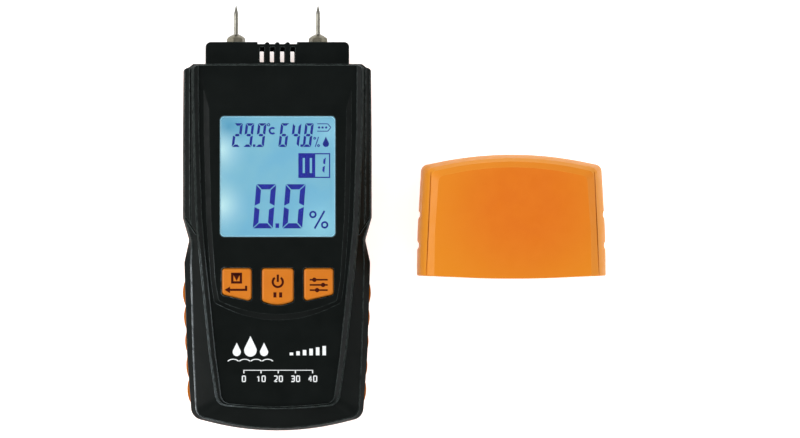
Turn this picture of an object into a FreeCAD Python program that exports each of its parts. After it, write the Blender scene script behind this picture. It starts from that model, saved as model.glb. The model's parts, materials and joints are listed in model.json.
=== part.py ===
"""Two-pin moisture meter with its pin cap taken off and laid beside it.

Millimetres.  The meter lies on its back: the origin is on the flat back face below the
middle of the casing, +Z points out of the display and +Y towards the electrode pins.
"""
import FreeCAD, Part
import math
import os

# ---- driving dimensions -------------------------------------------------------------
HALF_WIDTH = 34.65          # casing at its widest
HALF_LENGTH = 67.0          # used to thin the casing outline evenly at both ends
WALL = 2.2                  # moulded casing wall
SPLIT_Z = 14.0              # joint between the rear and the front shell
SIDE_Z = 24.2               # top of the upright casing side
SHOULDER_Z = 27.8           # crease half way up the front slope
FACE_Z = 31.4               # casing face between the edge ribs
PLATE_Z = 32.4              # raised plate round the display and the keys
RIB_Z = 33.0                # top of the edge ribs
LIP_Z = 31.2                # underside of the lip over the display window
CEILING_Z = 29.4            # inside of the front wall

NECK_HALF_WIDTH = 26.3
NECK_TOP_Y = 71.5
NECK_ROOT_Y = 62.0
NECK_BACK_Z = 7.0
NECK_FRONT_Z = 27.0
NECK_CORNER = 1.8

VENT_PITCH = 3.75
VENT_WIDTH = 1.75
VENT_LOW_Y = 64.1
VENT_FRONT_TOP_Y = 69.7
VENT_REAR_TOP_Y = 68.2

PIN_X = 15.05               # half the pin spacing
PIN_Z = 17.0
PIN_RADIUS = 0.82
PIN_SHANK_RADIUS = 1.15     # thicker end held in the socket and the collar
PIN_ROOT_Y = 60.0
PIN_SHOULDER_Y = 74.4
PIN_TAPER_Y = 82.0
PIN_TIP_Y = 85.0
SOCKET_RADIUS = 2.6
COLLAR_FLATS = 6.0
COLLAR_HEIGHT = 2.8

WINDOW_HALF_WIDTH = 21.0
WINDOW_LOW_Y = 0.15
WINDOW_HIGH_Y = 44.1
WINDOW_RIM = 1.6            # hidden edge of the window under the lip
GLASS_TOP_Z = 29.2
GLASS_LOW_Z = 26.4
LIGHT_GUIDE_LOW_Z = 23.4
GASKET_TOP_Z = 29.6

KEY_TOP_Y = -11.6
KEY_TOP_Z = 33.5
KEY_GAP = 0.35
KEY_Y = -17.6               # middle of the stems, domes and contact pads
KEY_X = {"enter_key": -15.0, "power_key": 0.0, "set_key": 15.0}

BOARD_BOTTOM_Z = 18.4
BOARD_TOP_Z = 20.0
BOARD_HALF_WIDTH = 27.0
BOARD_LOW_Y = -62.0
BOARD_HIGH_Y = 52.0

CELL_RADIUS = 5.25          # AAA cell
CELL_LENGTH = 44.5
CELL_PITCH = 11.2
CELL_Z = 8.0
BAY_HALF_WIDTH = 17.2
BAY_LOW_Y = -62.0
BAY_HIGH_Y = -12.0
BAY_CEILING_Z = 13.8
CONTACT_THICKNESS = 0.4

DOOR_HALF_WIDTH = 20.0
DOOR_HIGH_Y = -8.0
DOOR_THICKNESS = 2.0
DOOR_GAP = 0.2

CASE_SCREW_RADIUS = 1.25
BOARD_SCREW_RADIUS = 0.9
LEAD_RADIUS = 0.6
CASE_SCREWS = [(27.0, 50.0), (-27.0, 50.0), (26.0, -56.0), (-26.0, -56.0)]
BOARD_SCREWS = [(24.6, -15.0), (-24.6, -15.0), (17.5, -58.0), (-17.5, -58.0)]

CAP_X = 86.25               # middle of the cap where it lies
CAP_LOW_Y = -15.0
CAP_LENGTH = 45.0
CAP_TOP_Z = 31.6
CAP_WALL = 2.2
CAP_CROWN_SLOPE = 0.205     # rise of the closed end towards its middle
CAP_MOUTH_Y = 0.7

# Right half of each casing outline, from the shoulder down: x, y, corner radius.
# The last corner of each lies on the middle line.
SIDE_OUTLINE = [(30.6, 63.2, 1.0), (32.2, 62.0, 0.5), (34.4, 61.5, 0.9), (34.65, 37.0, 25.0),
                (34.65, 7.0, 2.5), (32.3, -1.2, 3.0), (34.1, -9.4, 2.5), (33.1, -42.5, 60.0),
                (31.4, -66.3, 4.5), (0.0, -74.2, 100.0)]
SHOULDER_OUTLINE = [(30.6, 63.1, 1.0), (32.1, 61.9, 0.5), (33.7, 61.3, 0.9), (33.9, 37.0, 25.0),
                    (33.8, 7.0, 2.5), (31.2, -1.2, 3.0), (31.6, -9.4, 2.5), (30.7, -42.5, 60.0),
                    (29.6, -65.4, 4.2), (0.0, -72.6, 95.0)]
RIB_OUTLINE = [(30.2, 62.9, 0.5), (31.2, 62.3, 0.3), (31.5, 61.0, 0.5), (31.1, 37.0, 25.0),
               (30.1, 7.0, 2.5), (29.4, -1.2, 3.0), (28.6, -9.4, 2.5), (25.2, -42.5, 60.0),
               (22.4, -61.7, 4.2), (0.0, -63.7, 150.0)]
RIB_INNER = [(29.0, 70.0, 0.5), (28.7, 37.0, 25.0), (27.7, 7.0, 2.5), (27.0, -1.2, 3.0),
             (26.2, -9.4, 2.5), (22.8, -42.5, 60.0), (20.4, -60.9, 3.6), (0.0, -62.9, 150.0)]
RIB_CREST = [(30.7, 70.0, 0.5), (30.35, 37.0, 25.0), (29.35, 7.0, 2.5), (28.65, -1.2, 3.0),
             (27.85, -9.4, 2.5), (24.5, -42.5, 60.0), (21.7, -61.3, 4.0), (0.0, -63.3, 150.0)]
PLATE_FOOT = [(27.3, 56.2, 2.0), (27.2, 37.0, 25.0), (26.3, 7.0, 25.0), (24.6, -16.0, 25.0),
              (23.4, -24.2, 2.0), (0.0, -35.2, 43.0)]
PLATE_TOP = [(25.2, 48.8, 2.0), (25.1, 37.0, 25.0), (24.4, 7.0, 25.0), (22.9, -16.0, 25.0),
             (21.6, -23.4, 1.6), (0.0, -32.5, 49.0)]


# ---- helpers ------------------------------------------------------------------------
def vec(x, y, z=0.0):
    return FreeCAD.Vector(x, y, z)


def box(x_range, y_range, z_range):
    size = [high - low for low, high in (x_range, y_range, z_range)]
    return Part.makeBox(*size, vec(x_range[0], y_range[0], z_range[0]))


def post(x, y, radius, z_low, z_high):
    return Part.makeCylinder(radius, z_high - z_low, vec(x, y, z_low))


def rod(x, z, radius, y_low, y_high):
    return Part.makeCylinder(radius, y_high - y_low, vec(x, y_low, z), vec(0, 1, 0))


def joined(shapes):
    return shapes[0].multiFuse(shapes[1:]).removeSplitter()


def both_sides(shape):
    return [shape, shape.mirror(vec(0, 0), vec(1, 0))]


def mirrored(half):
    """Whole outline from its right half, whose last corner is on the middle line."""
    left = [(-x, y, radius) for x, y, radius in reversed(half[:-1])]
    return half + left


def rounded_wire(corners, z):
    """Closed outline whose corners (x, y, radius) are turned by tangent arcs."""
    arcs = []
    for index, (x, y, radius) in enumerate(corners):
        here = vec(x, y, z)
        before = corners[index - 1]
        after = corners[(index + 1) % len(corners)]
        to_before = (vec(before[0], before[1], z) - here).normalize()
        to_after = (vec(after[0], after[1], z) - here).normalize()
        half_angle = to_before.getAngle(to_after) / 2
        reach = radius / math.tan(half_angle)
        inward = (to_before + to_after).normalize()
        middle = here + inward * (radius / math.sin(half_angle) - radius)
        arcs.append((here + to_before * reach, middle, here + to_after * reach))
    edges = []
    for index, (start, middle, end) in enumerate(arcs):
        edges.append(Part.Arc(start, middle, end).toShape())
        edges.append(Part.makeLine(end, arcs[(index + 1) % len(arcs)][0]))
    return Part.Wire(edges)


def prism(corners, z_low, z_high):
    face = Part.Face(rounded_wire(corners, z_low))
    return face.extrude(vec(0, 0, z_high - z_low))


def slope(low_corners, z_low, high_corners, z_high):
    """Solid between two outlines with the same number of corners."""
    wires = [rounded_wire(low_corners, z_low), rounded_wire(high_corners, z_high)]
    return Part.makeLoft(wires, True, True)


def thinned(corners, wall):
    """Outline drawn in by about one wall thickness all round."""
    x_scale = 1 - wall / HALF_WIDTH
    y_scale = 1 - wall / HALF_LENGTH
    return [(x * x_scale, y * y_scale, radius * x_scale) for x, y, radius in corners]


def rectangle(half_width, y_low, y_high, radius):
    return [(half_width, y_high, radius), (half_width, y_low, radius),
            (-half_width, y_low, radius), (-half_width, y_high, radius)]


def tube(route, radius, bend):
    """Round wire along straight runs joined by tangent arcs of one bend radius."""
    edges = []
    start = vec(*route[0])
    for before, here, after in zip(route, route[1:], route[2:]):
        corner = vec(*here)
        to_before = (vec(*before) - corner).normalize()
        to_after = (vec(*after) - corner).normalize()
        half_angle = to_before.getAngle(to_after) / 2
        reach = bend / math.tan(half_angle)
        inward = (to_before + to_after).normalize()
        middle = corner + inward * (bend / math.sin(half_angle) - bend)
        arc_start = corner + to_before * reach
        arc_end = corner + to_after * reach
        edges.append(Part.makeLine(start, arc_start))
        edges.append(Part.Arc(arc_start, middle, arc_end).toShape())
        start = arc_end
    edges.append(Part.makeLine(start, vec(*route[-1])))
    path = Part.Wire(edges)
    section = Part.Wire(Part.makeCircle(radius, vec(*route[0]), vec(*route[1]) - vec(*route[0])))
    return path.makePipeShell([section], True, False)


# ---- casing -------------------------------------------------------------------------
def casing_core(wall):
    """Front half of the casing as a solid, or its inside when a wall is given."""
    side = thinned(mirrored(SIDE_OUTLINE), wall)
    shoulder = thinned(mirrored(SHOULDER_OUTLINE), wall)
    rib = thinned(mirrored(RIB_OUTLINE), wall)
    ledge = [(x * 1.011, y * 1.005, radius) for x, y, radius in shoulder]
    drop = 2.0 * wall / WALL
    shoulder_z = SHOULDER_Z - 0.7 * drop
    return joined([prism(side, SPLIT_Z, SIDE_Z),
                   slope(side, SIDE_Z, ledge, shoulder_z),
                   slope(shoulder, shoulder_z, rib, FACE_Z - drop)])


def edge_ribs():
    """Raised U round the face: side ribs whose tops lean inwards, and a thin line across the bottom."""
    foot_z = FACE_Z - 0.4
    lean_z = RIB_Z - 0.7
    outer = mirrored(RIB_OUTLINE)
    top = [(x * 0.985, y * 0.997, radius) for x, y, radius in outer]
    body = slope(outer, foot_z, top, RIB_Z)
    inner = mirrored(RIB_INNER)
    mouth = [(x * 1.01, y * 1.001, radius) for x, y, radius in inner]
    return body.cut([slope(inner, foot_z - 0.1, mouth, lean_z),
                     slope(mouth, lean_z, mirrored(RIB_CREST), RIB_Z + 0.01)])


def face_plate():
    return slope(mirrored(PLATE_FOOT), FACE_Z - 0.1, mirrored(PLATE_TOP), PLATE_Z)


def neck(z_low, z_high, inset=0.0):
    corners = rectangle(NECK_HALF_WIDTH - inset, NECK_ROOT_Y - 4.0, NECK_TOP_Y - inset, NECK_CORNER)
    block = prism(corners, z_low, z_high)
    notch = box((-7.3, 7.3), (NECK_TOP_Y - 0.75, NECK_TOP_Y + 1.0), (z_low - 1, z_high + 1))
    teeth = [post(step * VENT_PITCH, NECK_TOP_Y - 0.85, 0.8, z_low, z_high) for step in (-1, 0, 1)]
    return joined([block.cut(notch)] + teeth)


def vent_slots(top_y, z_low, z_high):
    slots = []
    for step in (-1.5, -0.5, 0.5, 1.5):
        x = step * VENT_PITCH
        corners = [(x + VENT_WIDTH / 2, top_y, 0.4), (x + VENT_WIDTH / 2, VENT_LOW_Y, 0.4),
                   (x - VENT_WIDTH / 2, VENT_LOW_Y, 0.4), (x - VENT_WIDTH / 2, top_y, 0.4)]
        slots.append(prism(corners, z_low, z_high))
    return slots


def vent_chamber():
    return box((-8.6, 8.6), (NECK_ROOT_Y - 4.0, 69.9), (NECK_BACK_Z + 2.0, NECK_FRONT_Z - 2.0))


def side_grooves():
    """Groove outside each rib down to the waist, and the slanted groove that ends it."""
    width = 0.55
    straight = box((31.75, 31.75 + width), (4.5, 70.0), (29.2, 40.0))
    slanted = box((-1.0, 6.5), (-width / 2, width / 2), (27.2, 40.0))
    slanted.rotate(vec(0, 0), vec(0, 0, 1), 57.0)
    slanted.translate(vec(30.3, 1.7))
    return both_sides(straight) + both_sides(slanted)


def key_corners(name, grow):
    """Outline of a key, drawn out by grow on every side."""
    top = KEY_TOP_Y + grow
    if name == "power_key":
        half = 5.75 + grow
        low = -23.5 - grow
        return [(half, top, 1.1), (half, low, 1.4), (0.0, low - 1.9, 12.0),
                (-half, low, 1.4), (-half, top, 1.1)]
    inner = 9.65 - grow
    outer = 20.35 + grow
    right = [(outer, top, 1.1), (outer, -21.0 - grow, 1.3), (inner, -23.5 - grow, 1.3), (inner, top, 1.1)]
    if name == "set_key":
        return right
    return [(-x, y, radius) for x, y, radius in reversed(right)]


def front_shell():
    shell = joined([casing_core(0.0), edge_ribs(), face_plate(), neck(SPLIT_Z, NECK_FRONT_Z)])
    inside = casing_core(WALL)
    shell = shell.cut(inside)
    rebate = prism(window_outline(WINDOW_RIM + 0.2, 2.6), CEILING_Z - 1, LIP_Z)
    opening = slope(window_outline(0.0, 1.5), LIP_Z - 1, window_outline(0.3, 1.6), PLATE_Z + 0.5)
    cuts = [rebate, opening, vent_chamber()]
    cuts += vent_slots(VENT_FRONT_TOP_Y, SPLIT_Z - 1, NECK_FRONT_Z + 1)
    cuts += side_grooves()
    cuts += [prism(key_corners(name, KEY_GAP), CEILING_Z - 2, PLATE_Z + 2)
             for name in KEY_X]
    shell = shell.cut(cuts)
    posts = [post(x, y, 3.0, SPLIT_Z, CEILING_Z + 1) for x, y in CASE_SCREWS]
    posts += [post(x, y, 2.2, BOARD_TOP_Z, CEILING_Z + 1) for x, y in BOARD_SCREWS]
    filled = casing_core(0.4)
    shell = joined([shell] + [item.common(filled) for item in posts])
    holes = [post(x, y, CASE_SCREW_RADIUS, SPLIT_Z - 1, 23.0) for x, y in CASE_SCREWS]
    holes += [post(x, y, BOARD_SCREW_RADIUS, BOARD_TOP_Z - 1, 25.0) for x, y in BOARD_SCREWS]
    holes += [rod(side * PIN_X, PIN_Z, SOCKET_RADIUS, 50.0, NECK_TOP_Y + 1) for side in (-1, 1)]
    return shell.cut(holes)


def rear_core(wall):
    side = thinned([(x * 0.988, y * 0.997, radius) for x, y, radius in mirrored(SIDE_OUTLINE)], wall)
    edge = thinned(side, 0.5)
    rest = thinned(side, 2.6)
    floor = wall
    return joined([prism(side, floor + 4.2, SPLIT_Z),
                   slope(edge, floor + 1.6, side, floor + 4.2),
                   slope(rest, floor, edge, floor + 1.6)])


def side_half_width(y):
    """Half width of the casing side below the waist, at a height y."""
    upper, lower = SIDE_OUTLINE[6], SIDE_OUTLINE[8]
    share = (upper[1] - y) / (upper[1] - lower[1])
    return upper[0] + share * (lower[0] - upper[0])


def grip_scallops():
    """Five soft finger bumps on each side, standing just proud of the front shell."""
    bumps = []
    for index in range(5):
        y = -20.5 - 8.9 * index
        radius = 11.4
        bump = post(side_half_width(y) + 1.0 - radius, y, radius, 3.0, SPLIT_Z)
        rims = [edge for edge in bump.Edges if abs(edge.BoundBox.ZMin - 3.0) < 0.1
                and edge.BoundBox.ZLength < 0.1]
        bump = bump.makeFillet(2.0, rims)
        keep = box((20.0, 40.0), (y - 4.45, y + 4.45), (0.0, SPLIT_Z))
        bumps += both_sides(bump.common(keep))
    return bumps


def battery_bay():
    wall = 1.2
    return box((-BAY_HALF_WIDTH - wall, BAY_HALF_WIDTH + wall), (BAY_LOW_Y - wall, BAY_HIGH_Y + wall),
               (DOOR_THICKNESS + 0.5, BAY_CEILING_Z + wall))


def battery_bay_inside():
    return box((-BAY_HALF_WIDTH, BAY_HALF_WIDTH), (BAY_LOW_Y, BAY_HIGH_Y), (-1.0, BAY_CEILING_Z))


def door_body(grow):
    """Slab that covers the battery bay and runs out at the bottom end, with side rails."""
    half = DOOR_HALF_WIDTH + grow
    slab = box((-half, half), (-90.0, DOOR_HIGH_Y + grow), (-1.0, DOOR_THICKNESS + grow))
    rails = box((-half - 0.8, half + 0.8), (-58.0 - 40.0 * (grow > 0), DOOR_HIGH_Y - 4.0 + grow),
                (0.9 - grow, 1.5 + grow))
    return slab.fuse(rails)


def rear_shell():
    shell = joined([rear_core(0.0)] + grip_scallops())
    shell = shell.cut(rear_core(WALL))
    posts = [post(x, y, 3.8, 0.5, SPLIT_Z) for x, y in CASE_SCREWS]
    filled = rear_core(0.0)
    shell = joined([shell, battery_bay(), neck(NECK_BACK_Z, SPLIT_Z, 0.35)]
                   + [item.common(filled) for item in posts])
    bay_rails = box((-22.9, 22.9), (-72.0, DOOR_HIGH_Y + 2.0), (1.8, 4.0))
    shell = joined([shell, bay_rails.common(filled)])
    cuts = [battery_bay_inside(), door_body(DOOR_GAP), vent_chamber()]
    cuts += vent_slots(VENT_REAR_TOP_Y, NECK_BACK_Z - 1, SPLIT_Z + 1)
    for x, y in CASE_SCREWS:
        cuts.append(post(x, y, 1.7, -1.0, SPLIT_Z + 1))
        cuts.append(post(x, y, 3.0, -1.0, 4.0))
    return shell.cut(cuts + lead_slots())


def lead_slots():
    """Slots in the bay ceiling that let the two battery leads out."""
    return [box((x - 0.9, x + 0.9), (BAY_LOW_Y - 0.1, BAY_LOW_Y + 2.4), (BAY_CEILING_Z - 1, 20.0))
            for x in (-CELL_PITCH, CELL_PITCH)]


def battery_door():
    door = rear_core(0.0).common(door_body(0.0))
    grooves = [box((-9.0, 9.0), (y, y + 0.9), (-1.0, 0.5)) for y in (-16.0, -18.0, -20.0, -22.0, -24.0)]
    return door.cut(grooves)


# ---- display ------------------------------------------------------------------------
def window_outline(grow, radius):
    """Display opening drawn out by grow on every side."""
    return rectangle(WINDOW_HALF_WIDTH + grow, WINDOW_LOW_Y - grow, WINDOW_HIGH_Y + grow, radius)


def display_window():
    return prism(window_outline(WINDOW_RIM, 2.4), GASKET_TOP_Z, LIP_Z)


def window_gasket():
    outer = prism(window_outline(WINDOW_RIM, 2.4), GLASS_TOP_Z, GASKET_TOP_Z)
    return outer.cut(prism(window_outline(0.3, 1.9), GLASS_TOP_Z - 1, GASKET_TOP_Z + 1))


def lcd_glass():
    return box((-23.1, 23.1), (-1.7, 46.5), (GLASS_LOW_Z, GLASS_TOP_Z))


def lcd_holder():
    """Frame on the board with a floor under the light guide and a pocket for the LEDs."""
    frame = prism(rectangle(26.2, -4.0, 48.8, 1.5), BOARD_TOP_Z, GLASS_TOP_Z)
    glass_pocket = box((-23.2, 23.2), (-1.8, 46.6), (LIGHT_GUIDE_LOW_Z, 30.0))
    under_floor = box((-23.2, 23.2), (3.0, 42.4), (BOARD_TOP_Z - 1, 22.2))
    zebra_ways = [box((-21.6, 21.6), (low, low + 2.6), (BOARD_TOP_Z - 1, 26.0)) for low in (-1.5, 43.7)]
    led_pocket = box((-25.2, -23.0), (8.0, 37.0), (BOARD_TOP_Z - 1, GLASS_LOW_Z))
    post_room = [post(x, y, 3.3, BOARD_TOP_Z - 1, 30.0) for x, y in CASE_SCREWS]
    return frame.cut([glass_pocket, under_floor, led_pocket] + zebra_ways + post_room)


def backlight_diffuser():
    return box((-22.8, 22.8), (1.6, 43.2), (LIGHT_GUIDE_LOW_Z, GLASS_LOW_Z))


def backlight_leds():
    return [box((-24.9, -23.1), (y - 1.6, y + 1.6), (BOARD_TOP_Z, 25.8)) for y in (12.0, 22.4, 32.8)]


def zebra_connectors():
    return [box((-21.0, 21.0), (low, low + 2.0), (BOARD_TOP_Z, GLASS_LOW_Z)) for low in (-1.2, 44.0)]


# ---- keys ---------------------------------------------------------------------------
def key(name):
    bevel_z = KEY_TOP_Z - 0.5
    cap = prism(key_corners(name, 0.0), 28.0, bevel_z)
    crown = slope(key_corners(name, 0.0), bevel_z, key_corners(name, -0.5), KEY_TOP_Z)
    flange = prism(key_corners(name, 0.9), 27.6, 29.0)
    stem = post(KEY_X[name], KEY_Y, 3.0, 23.4, 28.0)
    return joined([cap, crown, flange, stem])


def keypad_mat():
    sheet = prism(rectangle(22.0, -26.5, -9.5, 1.5), BOARD_TOP_Z + 0.1, BOARD_TOP_Z + 1.0)
    domes = [Part.makeCone(3.2, 2.4, 1.2, vec(x, KEY_Y, BOARD_TOP_Z + 1.0)) for x in KEY_X.values()]
    return joined([sheet] + domes)


def contact_pads():
    return [post(x, KEY_Y, 1.8, BOARD_TOP_Z, BOARD_TOP_Z + 0.1) for x in KEY_X.values()]


# ---- electronics --------------------------------------------------------------------
def main_board():
    board = box((-BOARD_HALF_WIDTH, BOARD_HALF_WIDTH), (BOARD_LOW_Y, BOARD_HIGH_Y),
                (BOARD_BOTTOM_Z, BOARD_TOP_Z))
    cuts = [post(x, y, 4.0, 10.0, 30.0) for x, y in CASE_SCREWS]
    cuts += [post(x, y, BOARD_SCREW_RADIUS, 10.0, 30.0) for x, y in BOARD_SCREWS]
    return board.cut(cuts)


def microcontroller():
    return box((-5.0, 5.0), (-46.0, -36.0), (BOARD_TOP_Z, BOARD_TOP_Z + 1.4))


def board_components():
    """Small resistors and capacitors in two rows beside the controller."""
    parts = []
    for column in range(4):
        for side in (-1, 1):
            x = side * (8.5 + 3.0 * column)
            height = 0.6 + 0.3 * (column % 2)
            parts.append(box((x - 0.8, x + 0.8), (-37.0, -33.8), (BOARD_TOP_Z, BOARD_TOP_Z + height)))
    parts.append(post(-13.0, -49.0, 2.5, BOARD_TOP_Z, BOARD_TOP_Z + 5.2))
    return parts


def crystal():
    can = box((-5.6, 5.6), (-54.6, -50.0), (BOARD_TOP_Z, BOARD_TOP_Z + 3.4))
    upright = [edge for edge in can.Edges if edge.BoundBox.ZLength > 1]
    return can.makeFillet(2.2, upright)


def buzzer():
    x, y, height = 14.0, -48.0, 4.5
    can = post(x, y, 6.0, BOARD_TOP_Z, BOARD_TOP_Z + height)
    return can.cut(post(x, y, 1.0, BOARD_TOP_Z + 3.0, BOARD_TOP_Z + height + 1))


def sensor_board():
    return box((-7.5, 7.5), (54.0, 62.5), (16.2, 17.2))


def humidity_sensor():
    return box((-3.0, 3.0), (57.0, 61.0), (17.2, 19.0))


def sensor_ribbon():
    ribbon = box((-4.0, 4.0), (50.0, 56.0), (17.2, 17.5))
    return ribbon.cut(box((-2.0, 2.0), (55.0, 57.0), (17.0, 18.0)))


# ---- electrodes ---------------------------------------------------------------------
def electrode_pin(side):
    shank = rod(side * PIN_X, PIN_Z, PIN_SHANK_RADIUS, PIN_ROOT_Y, PIN_SHOULDER_Y)
    shaft = rod(side * PIN_X, PIN_Z, PIN_RADIUS, PIN_SHOULDER_Y, PIN_TAPER_Y)
    point = Part.makeCone(PIN_RADIUS, 0.12, PIN_TIP_Y - PIN_TAPER_Y,
                          vec(side * PIN_X, PIN_TAPER_Y, PIN_Z), vec(0, 1, 0))
    return joined([shank, shaft, point])


def pin_collar(side, turn):
    """Hexagonal collar that clamps a pin, with a domed outer end."""
    corner_radius = COLLAR_FLATS / 2 / math.cos(math.pi / 6)
    angles = [math.pi / 3 * step for step in range(7)]
    corners = [vec(corner_radius * math.cos(a), 0, corner_radius * math.sin(a)) for a in angles]
    body = Part.Face(Part.makePolygon(corners)).extrude(vec(0, COLLAR_HEIGHT, 0))
    body.rotate(vec(0, 0), vec(0, 1, 0), turn)
    body.translate(vec(side * PIN_X, NECK_TOP_Y, PIN_Z))
    ball = Part.makeSphere(4.3, vec(side * PIN_X, NECK_TOP_Y - 1.35, PIN_Z))
    shank = rod(side * PIN_X, PIN_Z, PIN_SHANK_RADIUS, PIN_ROOT_Y, PIN_TIP_Y)
    return body.common(ball).cut(shank)


def pin_socket(side):
    body = rod(side * PIN_X, PIN_Z, SOCKET_RADIUS, 58.4, NECK_TOP_Y)
    return body.cut(rod(side * PIN_X, PIN_Z, PIN_SHANK_RADIUS, PIN_ROOT_Y, NECK_TOP_Y + 1))


def solder_lug(side):
    ring = rod(side * PIN_X, PIN_Z, 2.4, 57.8, 58.4)
    tail = box((side * PIN_X - 0.9, side * PIN_X + 0.9), (54.6, 58.0), (14.7, 15.2))
    return joined([ring, tail])


def electrode_lead(side):
    route = [(side * PIN_X, 56.6, 14.1), (side * PIN_X, 50.6, 14.1), (side * (PIN_X + 4.0), 46.6, 14.1),
             (side * (PIN_X + 4.0), 42.2, 15.0), (side * (PIN_X + 4.0), 42.2, BOARD_BOTTOM_Z)]
    return tube(route, LEAD_RADIUS, 1.2)


# ---- power --------------------------------------------------------------------------
def cell(x, flipped):
    """AAA cell whose button end points down the bay when flipped, else up it."""
    nub_length = 1.0
    low = BAY_LOW_Y + (CONTACT_THICKNESS if flipped else 5.1)
    can_low = low + (nub_length if flipped else 0.0)
    can_high = can_low + CELL_LENGTH - nub_length
    nub_low = low if flipped else can_high
    can = rod(x, CELL_Z, CELL_RADIUS, can_low, can_high)
    return joined([can, rod(x, CELL_Z, 1.9, nub_low, nub_low + nub_length)])


def battery_cells():
    return [cell(CELL_PITCH * step, step == 0) for step in (-1, 0, 1)]


def battery_springs():
    """Wire springs that press on the flat ends of the cells."""
    wire = 0.35
    length = 3.5
    turns = 2.5
    helix = Part.makeHelix(length / turns, length, 3.2)
    helix.rotate(vec(0, 0), vec(1, 0, 0), -90)
    first = helix.Edges[0]
    start = first.valueAt(first.FirstParameter)
    section = Part.makeCircle(wire, start, first.tangentAt(first.FirstParameter))
    spring = Part.Wire(helix.Edges).makePipeShell([Part.Wire(section)], True, True)
    springs = []
    for step in (-1, 0, 1):
        low = BAY_LOW_Y + CONTACT_THICKNESS + wire + 0.1
        if step == 0:
            low = BAY_HIGH_Y - CONTACT_THICKNESS - wire - 0.3 - length
        springs.append(spring.translated(vec(CELL_PITCH * step, low, CELL_Z)))
    return springs


def battery_contacts():
    """Sprung-steel plates at both ends of the bay; one joins two cells at the upper end."""
    low_end = (BAY_LOW_Y, BAY_LOW_Y + CONTACT_THICKNESS)
    high_end = (BAY_HIGH_Y - CONTACT_THICKNESS, BAY_HIGH_Y)
    return [box((-15.4, -7.0), low_end, (3.5, 13.4)),
            box((-5.0, 5.0), low_end, (3.5, 12.4)),
            box((7.0, 15.4), low_end, (3.5, 13.4)),
            box((-15.4, 5.0), high_end, (3.5, 12.4)),
            box((6.6, 15.4), high_end, (3.5, 12.4))]


def battery_leads():
    leads = []
    for x in (-CELL_PITCH, CELL_PITCH):
        route = [(x, BAY_LOW_Y + 1.1, 12.4), (x, BAY_LOW_Y + 1.1, 16.4), (x, BAY_LOW_Y + 4.6, 16.4),
                 (x, BAY_LOW_Y + 4.6, BOARD_BOTTOM_Z)]
        leads.append(tube(route, LEAD_RADIUS, 0.9))
    return leads


def door_foam_pad():
    return box((-12.0, 12.0), (-38.0, -20.0), (DOOR_THICKNESS, 2.5))


# ---- fasteners ----------------------------------------------------------------------
def screw(x, y, head_low_z, head_radius, head_height, shank_radius, tip_z):
    """Pan-head screw with a cross recess, pointing up."""
    head = post(x, y, head_radius, head_low_z, head_low_z + head_height)
    rim = [edge for edge in head.Edges if edge.BoundBox.ZMax < head_low_z + 0.1]
    head = head.makeFillet(head_height * 0.4, rim)
    shank = post(x, y, shank_radius, head_low_z + head_height, tip_z)
    half = head_radius * 0.62
    width = head_radius * 0.14
    depth = (head_low_z - 1, head_low_z + head_height * 0.6)
    recess = [box((x - half, x + half), (y - width, y + width), depth),
              box((x - width, x + width), (y - half, y + half), depth)]
    return joined([head, shank]).cut(recess)


def case_screws():
    return [screw(x, y, 2.0, 2.8, 2.0, CASE_SCREW_RADIUS, 22.5) for x, y in CASE_SCREWS]


def board_screws():
    return [screw(x, y, BOARD_BOTTOM_Z - 1.4, 1.9, 1.4, BOARD_SCREW_RADIUS, 24.5) for x, y in BOARD_SCREWS]


# ---- pin cap ------------------------------------------------------------------------
def cap_corners(side, top):
    """Cap outline drawn in by side at the sides and by top at the closed end."""
    half = [(32.9 - side, CAP_LENGTH - 3.8 - top, 2.6), (34.3 - side, 17.0, 60.0),
            (34.55 - side, CAP_MOUTH_Y, 0.6)]
    left = [(-x, y, radius) for x, y, radius in reversed(half)]
    end_x, end_y, _ = half[0]
    crown = (0.0, end_y + CAP_CROWN_SLOPE * end_x, 4.0 * end_x)
    return half + [(0.0, CAP_MOUTH_Y - 1.55, 400.0)] + left + [crown]


def cap_core(wall):
    """Cap as a solid, or its inside when a wall is given."""
    rounds = [(1.6, 1.0, 0.0), (0.3, 0.3, 1.8), (0.0, 0.0, 4.0), (0.0, 0.0, 20.0),
              (0.6, 0.4, 25.0), (1.9, 1.1, 28.4), (3.3, 2.2, 30.3), (5.7, 4.0, CAP_TOP_Z)]
    tiers = []
    for side, top, z in rounds:
        z = min(max(z, wall), CAP_TOP_Z - wall)
        tiers.append((cap_corners(side + wall, top + wall), z))
    parts = [slope(low, low_z, high, high_z) for (low, low_z), (high, high_z) in zip(tiers, tiers[1:])
             if high_z > low_z + 0.05]
    return joined(parts)


def cap_marks():
    """Two finger notches on each side, and the fine groove beside each side of the front."""
    marks = []
    for x, y in ((35.3, 23.2), (35.7, 11.9)):
        marks += both_sides(post(x, y, 2.0, -1.0, CAP_TOP_Z + 1))
    groove = box((-0.18, 0.18), (-24.0, 26.0), (29.3, CAP_TOP_Z + 1))
    groove.rotate(vec(0, 0), vec(0, 0, 1), 2.6)
    groove.translate(vec(30.9, 19.0))
    return marks + both_sides(groove)


def pin_cap():
    inside = cap_core(CAP_WALL)
    mouth = box((-31.6, 31.6), (-6.0, 3.0), (2.4, 24.0))
    shell = cap_core(0.0).cut([inside, mouth] + cap_marks())
    ribs = []
    for z in (10.0, 22.6):
        ribs += both_sides(box((26.6, 32.2), (3.0, 16.0), (z, z + 1.4)))
    shell = joined([shell] + ribs)
    shell.translate(vec(CAP_X, CAP_LOW_Y))
    return shell


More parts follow.
